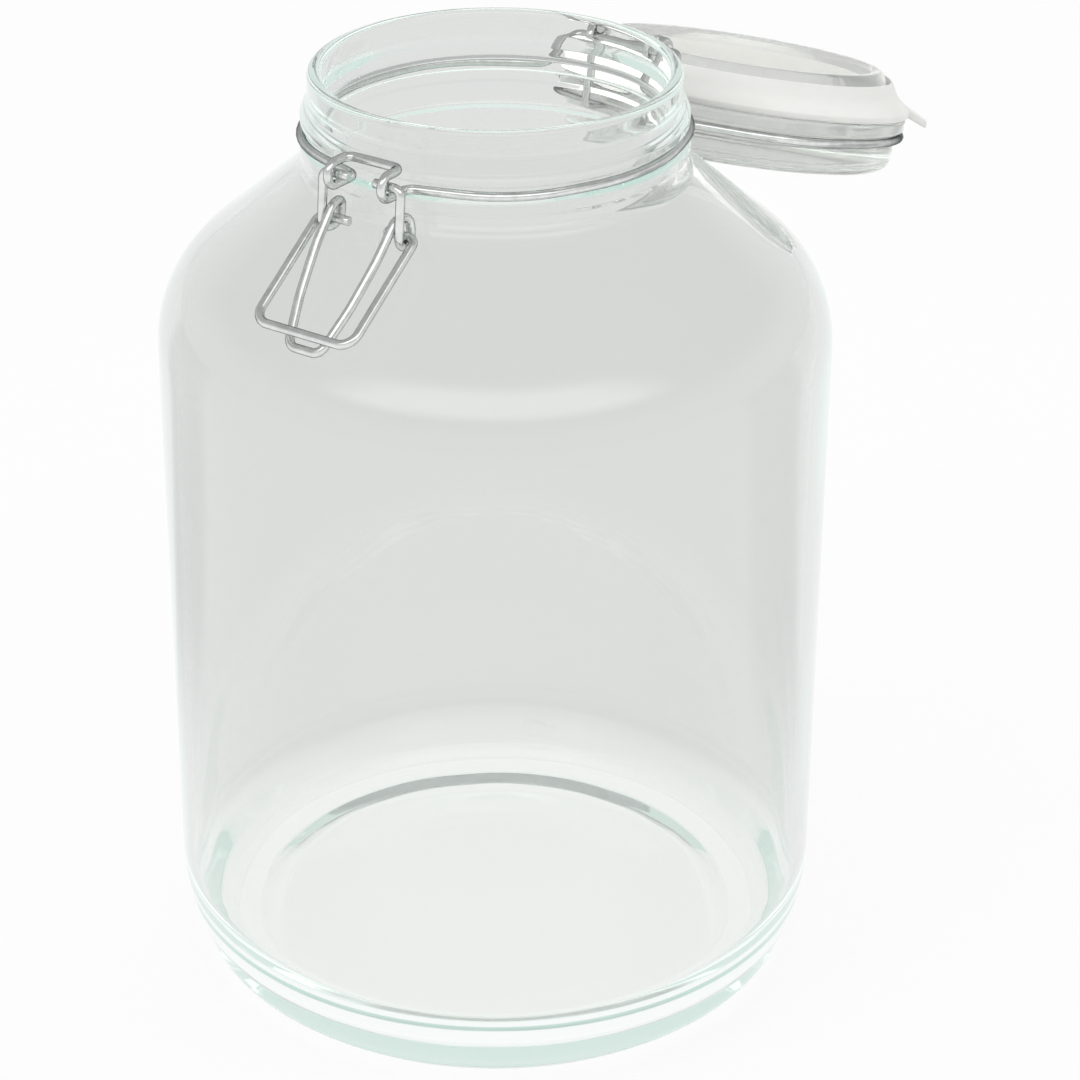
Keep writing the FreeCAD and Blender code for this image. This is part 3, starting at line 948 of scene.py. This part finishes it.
@dataclass
class NeckWire:
    """The neck wire: a front bar between two eyes, a ring in the groove, and the hinge bar."""

    wire: float = 2.4
    ring: float = 50.2
    height: float = 246.0
    front: float = 52.6
    eye: float = 3.05
    eye_spacing: float = 16.6
    eye_reach: float = 58.0
    hinge_reach: float = 64.7
    hinge_height: float = 250.0
    arm_spacing: float = 33.0
    leave_front: float = 18.0
    leave_back: float = 150.0

    def corners(self) -> list[Bend]:
        """The corners of the +X half, from the middle of the front bar to that of the hinge bar.

        Returns:
            The corners, each with its bend in mm.
        """
        eye_x, arm_x = self.eye_spacing / 2, self.arm_spacing / 2
        top, out = self.height + 2 * self.eye, self.eye_reach + self.eye
        return [
            (Vector((0, -self.front, top)), 0),
            (Vector((eye_x, -self.front, top)), 2.6),
            (Vector((eye_x, -out, top)), self.eye),
            (Vector((eye_x, -out, self.height)), self.eye),
            (Vector((eye_x, tangent_meets(self.ring, self.leave_front, eye_x), self.height)), 3.0),
            *ring_corners(self.ring, self.height, self.leave_front, self.leave_back, 3),
            (Vector((arm_x, tangent_meets(self.ring, self.leave_back, arm_x), self.height)), 4.0),
            (Vector((arm_x, self.hinge_reach, self.hinge_height)), 2.5),
            (Vector((0, self.hinge_reach, self.hinge_height)), 0),
        ]

    def build(self) -> bpy.types.Object:
        """Draws the wire round the neck."""
        route = both_sides(bent_route(self.corners(), 3.0), closed=True)
        return tube("neck_wire", route, self.wire / 2, closed=True)


@dataclass
class LidWire:
    """The lid's wire: a ring in the lid's groove whose ends coil round the hinge bar."""

    place: LidPlace
    wire: float = 2.4
    ring: float = 49.4
    height: float = 270.4
    strand: float = 2.3
    eye_spacing: float = 20.1
    coil: float = 2.55
    leave_back: float = 155.0
    turn_share: float = 0.97

    def corners(self) -> list[Bend]:
        """The corners of the +X half as it lies shut, from the front of the ring to its cut end.

        Returns:
            The corners, each with its bend in mm.
        """
        eye = self.coil
        leg_x = (self.eye_spacing + self.strand) / 2
        hinge_y, hinge_z = self.place.hinge_reach, self.place.hinge_height
        corners = [
            (Vector((0, -self.ring, self.height)), 0),
            *ring_corners(self.ring, self.height, 0.0, self.leave_back, 3),
            (Vector((leg_x, tangent_meets(self.ring, self.leave_back, leg_x), self.height)), 3.0),
            (Vector((leg_x, hinge_y - eye, self.height)), 3.4),
        ]
        for index, (side, level) in enumerate(((-1, -1), (1, -1), (1, 1), (-1, 1), (-1, -1))):
            across = leg_x - index * self.strand / 4
            turn = Vector((across, hinge_y + side * eye, hinge_z + level * eye))
            corners.append((turn, eye * self.turn_share))
        cut = Vector((leg_x - 5 * self.strand / 4, hinge_y + eye * 0.3, hinge_z - eye))
        corners.append((cut, 0))
        return corners

    def build(self) -> bpy.types.Object:
        """Draws the wire shut and opens it with the lid."""
        route = both_sides(bent_route(self.corners(), 3.0), closed=False)
        piece = tube("lid_wire", route, self.wire / 2, closed=False)
        piece.data.transform(self.place.opening())
        return piece


@dataclass
class Lever:
    """The lever: a finger loop, and on each side a coil, an arm and a pin in the eye."""

    wire: float = 2.4
    strand: float = 2.3
    slope: float = math.radians(47.8)
    length: float = 38.3
    tip_width: float = 9.8
    coil: float = 3.4
    coil_reach: float = 55.9
    coil_height: float = 236.8
    arm_spacing: float = 24.2
    pin_reach: float = 58.0
    pin_height: float = 249.05
    pin_inset: float = 3.9
    side_bend: float = 45.0

    def corners(self) -> list[Bend]:
        """The corners of the +X half, from the middle of the tip to the cut end of the pin.

        Returns:
            The corners, each with its bend in mm.
        """
        arm_x = self.arm_spacing / 2
        inner_x = arm_x - self.strand
        tip, shift, turn = self.tip_width / 2, self.strand / 3, self.coil * 0.97
        near, far = -self.coil_reach + self.coil, -self.coil_reach - self.coil
        high, low = self.coil_height + self.coil, self.coil_height - self.coil
        root = Vector((inner_x, -self.coil_reach - self.coil * math.tan(self.slope / 2), high))
        down = Vector((0, -math.cos(self.slope), -math.sin(self.slope)))

        def on_loop(along: float, across: float) -> Vector:
            """A place on the loop's plane, at a distance along it from its root."""
            return Vector((across, root.y, root.z)) + down * along

        return [
            (on_loop(self.length, 0), 0),
            (on_loop(self.length, tip), tip - 0.3),
            (on_loop(self.length * 0.66, tip + (inner_x - tip) * 0.6), self.side_bend),
            (on_loop(self.length * 0.3, tip + (inner_x - tip) * 0.95), self.side_bend),
            (root, self.coil),
            (Vector((inner_x + shift, near, high)), turn),
            (Vector((inner_x + 2 * shift, near, low)), turn),
            (Vector((arm_x, far, low)), turn),
            (Vector((arm_x, -self.pin_reach, self.pin_height)), 2.0),
            (Vector((self.pin_inset, -self.pin_reach, self.pin_height)), 0),
        ]

    def build(self) -> bpy.types.Object:
        """Draws the lever as it hangs."""
        route = both_sides(bent_route(self.corners(), 2.0), closed=False)
        return tube("lever_wire", route, self.wire / 2, closed=False)


@dataclass
class Bail:
    """The bail: a bar, two legs, and cut ends that turn in the lever's coils."""

    wire: float = 2.4
    pin_reach: float = 55.9
    pin_height: float = 235.9
    pin_inset: float = 5.6
    spacing: float = 30.2
    length: float = 34.0
    slope: float = math.radians(34.6)
    corner: float = 4.2

    def corners(self) -> list[Bend]:
        """The corners of the +X half, from the middle of the bar to the cut end."""
        pin = Vector((0, -self.pin_reach, self.pin_height))
        bar = pin + Vector((0, -math.cos(self.slope), -math.sin(self.slope))) * self.length
        aside = Vector((self.spacing / 2, 0, 0))
        cut = pin + Vector((self.pin_inset, 0, 0))
        return [(bar, 0), (bar + aside, self.corner), (pin + aside, 2.4), (cut, 0)]

    def build(self) -> bpy.types.Object:
        """Draws the bail as it lies over the finger loop."""
        route = both_sides(bent_route(self.corners(), 2.0), closed=False)
        return tube("bail_wire", route, self.wire / 2, closed=False)


@dataclass
class Wires:
    """All the bent wires, with the body that each rides on and the solid that it stands for."""

    place: LidPlace
    finish: WireFinish = PLATED_WIRE

    def build(self) -> list[bpy.types.Object]:
        """Draws every wire and gives it the plated finish.

        Returns:
            The new pieces.
        """
        made = (
            (NeckWire(), "jar", "neck_ring"),
            (LidWire(self.place), "lid", "lid_ring"),
            (Lever(), "lever", "lever"),
            (Bail(), "bail", "bail"),
        )
        material = self.finish.material()
        pieces = []
        for wire, body, solid in made:
            piece = wire.build()
            piece.data.materials.append(material)
            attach(piece, body)
            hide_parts(solid)
            pieces.append(piece)
        return pieces


# --- the studio ---


@dataclass(frozen=True)
class Lamp:
    """A soft square lamp that looks at the jar."""

    name: str
    azimuth: float
    elevation: float
    distance: float
    side: float
    watts: float


@dataclass
class Studio:
    """A pale floor, a plain world and soft lamps, with the camera."""

    target: Vector = field(default_factory=lambda: Vector((0, 0, 0.12)))
    floor_side: float = 24.0
    floor_colour: Colour = (0.93, 0.93, 0.93)
    floor_glow: float = 0.92
    through_glow: float = 0.5
    through_strength: float = 0.8
    painted_under_glow: float = 1.0
    painted_under_strength: float = 1.04
    foot_radius: float = 0.088
    foot_fade: float = 0.01
    dark_azimuths: tuple[float, ...] = (-84.0, 135.0)
    dark_strength: float = 0.5
    dark_cone: tuple[float, float] = (0.955, 0.99)
    dark_distance: tuple[float, float] = (0.13, 0.3)
    under_radius: float = 0.085
    beyond_radius: float = 0.11
    world_light: float = 0.7
    ceiling: float = 0.58
    through_ceiling: float = 0.74
    through_walls: float = 0.85
    glow_azimuth: float = 35
    glow_height: float = 0.66
    glow_strength: float = 1.6
    glow_band: tuple[float, float] = (0.08, 0.26)
    glow_front: tuple[float, float] = (0.2, 0.6)
    wall_heights: tuple[float, float] = (0.15, 0.55)
    eye_azimuth: float = 35.0
    eye_elevation: float = 27.7
    eye_distance: float = 0.9124
    eye_target: Vector = field(default_factory=lambda: Vector((0, 0, 0.1228)))
    eye_lens: float = 108.63
    eye_sensor: float = 36.0
    eye_shift: float = 0.0414
    lamps: tuple[Lamp, ...] = (
        Lamp("key_softbox", -25, 52, 1.3, 0.7, 5.2),
        Lamp("side_softbox", 110, 38, 1.4, 0.6, 3.0),
        Lamp("back_softbox", 200, 48, 1.5, 0.8, 3.0),
    )

    def direction(self, azimuth: float, elevation: float) -> Vector:
        """The unit vector towards an azimuth and elevation in degrees, with 0 towards -Y."""
        turn, rise = math.radians(azimuth), math.radians(elevation)
        level = Vector((math.sin(turn), -math.cos(turn), 0)) * math.cos(rise)
        return level + Vector((0, 0, math.sin(rise)))

    def floor(self) -> bpy.types.Object:
        """Lays the pale floor, which still takes the jar's shadow.

        Returns:
            The floor.
        """
        mesh = bmesh.new()
        bmesh.ops.create_grid(mesh, x_segments=1, y_segments=1, size=self.floor_side / 2)
        data = bpy.data.meshes.new("studio_floor")
        mesh.to_mesh(data)
        mesh.free()
        floor = bpy.data.objects.new("studio_floor", data)
        bpy.context.scene.collection.objects.link(floor)
        data.materials.append(self.floor_material())
        return floor

    def floor_material(self) -> Material:
        """Pale matt paper, whose background light only the camera, metal and glass see, with
        painted light under the jar and painted dark reflections to each side.

        Returns:
            The material.
        """
        material = bpy.data.materials.new("floor_paper")
        material.use_nodes = True
        tree = material.node_tree
        nodes, links = tree.nodes, tree.links
        nodes.clear()
        paper = nodes.new("ShaderNodeBsdfDiffuse")
        paper.inputs["Color"].default_value = (*self.floor_colour, 1)
        glow = nodes.new("ShaderNodeEmission")
        path = nodes.new("ShaderNodeLightPath")
        place = nodes.new("ShaderNodeTexCoord")
        distance = nodes.new("ShaderNodeVectorMath")
        distance.operation = "LENGTH"
        links.new(place.outputs["Object"], distance.inputs[0])
        away = distance.outputs["Value"]
        # Painted light under the jar: seen through the glass, the floor under the base glows at
        # full strength and a little over, with no shadow; further out it is dimmer and half lit by
        # the lamps.
        under = (self.under_radius, self.beyond_radius, self.painted_under_glow, self.through_glow)
        painted_under_share = eased(tree, away, *under)
        foot = (self.foot_radius - self.foot_fade, self.foot_radius)
        strength = eased(tree, away, *foot, self.painted_under_strength, 1.0)
        loss = eased(tree, away, *under[:2], 0.0, self.through_strength - 1.0)
        loss = product(tree, path.outputs["Is Transmission Ray"], loss)
        kept = arithmetic(tree, "ADD", loss, 1.0)
        strength = product(tree, strength, kept)
        # Painted reflections: away from the jar, the floor seen in metal and glass reflections is
        # dimmed towards two sides.
        apart = eased(tree, away, *self.dark_distance, 0.0, 1.0)
        glossy, through = path.outputs["Is Glossy Ray"], path.outputs["Is Transmission Ray"]
        outer = arithmetic(tree, "SUBTRACT", glossy, through)
        outer = arithmetic(tree, "MAXIMUM", outer, 0.0)
        beside = product(tree, outer, apart)
        for dark in self.painted_dark_reflections(tree, place.outputs["Object"], beside):
            strength = product(tree, strength, dark)
        links.new(strength, glow.inputs["Strength"])
        shares = (
            product(tree, path.outputs["Is Transmission Ray"], painted_under_share),
            product(tree, path.outputs["Is Glossy Ray"], self.floor_glow),
            product(tree, path.outputs["Is Camera Ray"], self.floor_glow),
        )
        mix = nodes.new("ShaderNodeMixShader")
        links.new(largest(tree, shares), mix.inputs["Fac"])
        links.new(paper.outputs["BSDF"], mix.inputs[1])
        links.new(glow.outputs["Emission"], mix.inputs[2])
        end = nodes.new("ShaderNodeOutputMaterial")
        links.new(mix.outputs["Shader"], end.inputs["Surface"])
        return material

    def painted_dark_reflections(
        self, tree: Tree, place: Socket, beside: Socket
    ) -> list[Socket]:
        """Paints the floor darker to each side where it shows in reflections: painted reflections
        of dark cards, which are not in the scene.

        Args:
            tree: the floor's node tree.
            place: the place on the floor.
            beside: how far the dimming applies, from 0 to 1.

        Returns:
            A factor for the floor's brightness for each dark side.
        """
        factors = []
        for azimuth in self.dark_azimuths:
            heading = tree.nodes.new("ShaderNodeVectorMath")
            heading.operation = "NORMALIZE"
            tree.links.new(place, heading.inputs[0])
            towards = tree.nodes.new("ShaderNodeVectorMath")
            towards.operation = "DOT_PRODUCT"
            towards.inputs[1].default_value = self.direction(azimuth, 0.0)
            tree.links.new(heading.outputs["Vector"], towards.inputs[0])
            most = self.dark_strength - 1.0
            loss = eased(tree, towards.outputs["Value"], *self.dark_cone, 0.0, most)
            factors.append(arithmetic(tree, "ADD", product(tree, beside, loss), 1.0))
        return factors

    def world(self) -> None:
        """Sets a plain world: white to the camera, with a dimmer ceiling and a painted highlight in
        metal and glass.
        """
        world = bpy.data.worlds.new("studio_world")
        bpy.context.scene.world = world
        world.use_nodes = True
        tree = world.node_tree
        tree.nodes.clear()
        path = tree.nodes.new("ShaderNodeLightPath")
        shader = None
        through = self.ceiling_fall(tree, self.through_ceiling, self.through_walls)
        layers = (
            (None, self.world_light),
            ("Is Camera Ray", 1.0),
            ("Is Transmission Ray", through),
            ("Is Glossy Ray", self.reflected(tree)),
        )
        for ray, strength in layers:
            background = tree.nodes.new("ShaderNodeBackground")
            if isinstance(strength, float):
                background.inputs["Strength"].default_value = strength
            else:
                tree.links.new(strength, background.inputs["Strength"])
            if ray is None:
                shader = background.outputs["Background"]
                continue
            mix = tree.nodes.new("ShaderNodeMixShader")
            tree.links.new(path.outputs[ray], mix.inputs["Fac"])
            tree.links.new(shader, mix.inputs[1])
            tree.links.new(background.outputs["Background"], mix.inputs[2])
            shader = mix.outputs["Shader"]
        end = tree.nodes.new("ShaderNodeOutputWorld")
        tree.links.new(shader, end.inputs["Surface"])

    def heading(self, tree: Tree) -> Socket:
        """The direction that a ray leaves the studio in."""
        return tree.nodes.new("ShaderNodeTexCoord").outputs["Generated"]

    def ceiling_fall(self, tree: Tree, ceiling: float, walls: float = 1.0) -> Socket:
        """Pale walls that dim upwards to the ceiling's brightness."""
        height = tree.nodes.new("ShaderNodeSeparateXYZ")
        tree.links.new(self.heading(tree), height.inputs["Vector"])
        return eased(tree, height.outputs["Z"], *self.wall_heights, walls, ceiling)

    def reflected(self, tree: Tree) -> Socket:
        """How bright each direction is in a reflection, with a painted highlight: a wide soft light
        in front that shows only in reflections and lights nothing.

        Args:
            tree: the world's node tree.

        Returns:
            The brightness.
        """
        height = tree.nodes.new("ShaderNodeSeparateXYZ")
        tree.links.new(self.heading(tree), height.inputs["Vector"])
        above = arithmetic(tree, "SUBTRACT", height.outputs["Z"], self.glow_height)
        away = arithmetic(tree, "ABSOLUTE", above, 0.0)
        band = eased(tree, away, *self.glow_band, 1.0, 0.0)
        front = tree.nodes.new("ShaderNodeVectorMath")
        front.operation = "DOT_PRODUCT"
        front.inputs[1].default_value = self.direction(self.glow_azimuth, 0.0)
        tree.links.new(self.heading(tree), front.inputs[0])
        facing = eased(tree, front.outputs["Value"], *self.glow_front, 0.0, self.glow_strength)
        # Painted highlight: a soft bright band that only reflections see.
        glow = product(tree, band, facing)
        return arithmetic(tree, "ADD", self.ceiling_fall(tree, self.ceiling), glow)

    def light(self) -> None:
        """Hangs the soft lamps."""
        for lamp in self.lamps:
            data = bpy.data.lights.new(lamp.name, "AREA")
            data.size = lamp.side
            data.energy = lamp.watts
            hung = bpy.data.objects.new(lamp.name, data)
            towards = self.direction(lamp.azimuth, lamp.elevation)
            hung.location = self.target + towards * lamp.distance
            hung.rotation_mode = "QUATERNION"
            hung.rotation_quaternion = (-towards).to_track_quat("-Z", "Y")
            hung.visible_glossy = False
            hung.visible_transmission = False
            bpy.context.scene.collection.objects.link(hung)

    def camera(self) -> None:
        """Sets the camera at three quarters from the clip's side, looking down on the jar."""
        data = bpy.data.cameras.new("camera")
        data.lens = self.eye_lens
        data.sensor_width = self.eye_sensor
        data.shift_x = self.eye_shift
        camera = bpy.data.objects.new("camera", data)
        towards = self.direction(self.eye_azimuth, self.eye_elevation)
        camera.location = self.eye_target + towards * self.eye_distance
        camera.rotation_mode = "QUATERNION"
        camera.rotation_quaternion = (-towards).to_track_quat("-Z", "Y")
        bpy.context.scene.collection.objects.link(camera)
        bpy.context.scene.camera = camera

    def build(self) -> None:
        """Sets up the whole studio."""
        self.camera()
        self.floor()
        self.world()
        self.light()
        bpy.context.scene.view_settings.view_transform = "Standard"


# --- the whole ---


def main() -> None:
    """Builds the studio and dresses the jar, piece by piece."""
    logging.basicConfig(level=logging.INFO, format="%(name)s: %(message)s")
    Studio().build()
    place = LidPlace()
    made = [JarGlass().build(), LidGlass(place).build(), Gasket(place).build()]
    made += Wires(place).build()
    for piece in made:
        log.info("%s has %d faces", piece.name, len(piece.data.polygons))


if __name__ == "__main__":
    main()
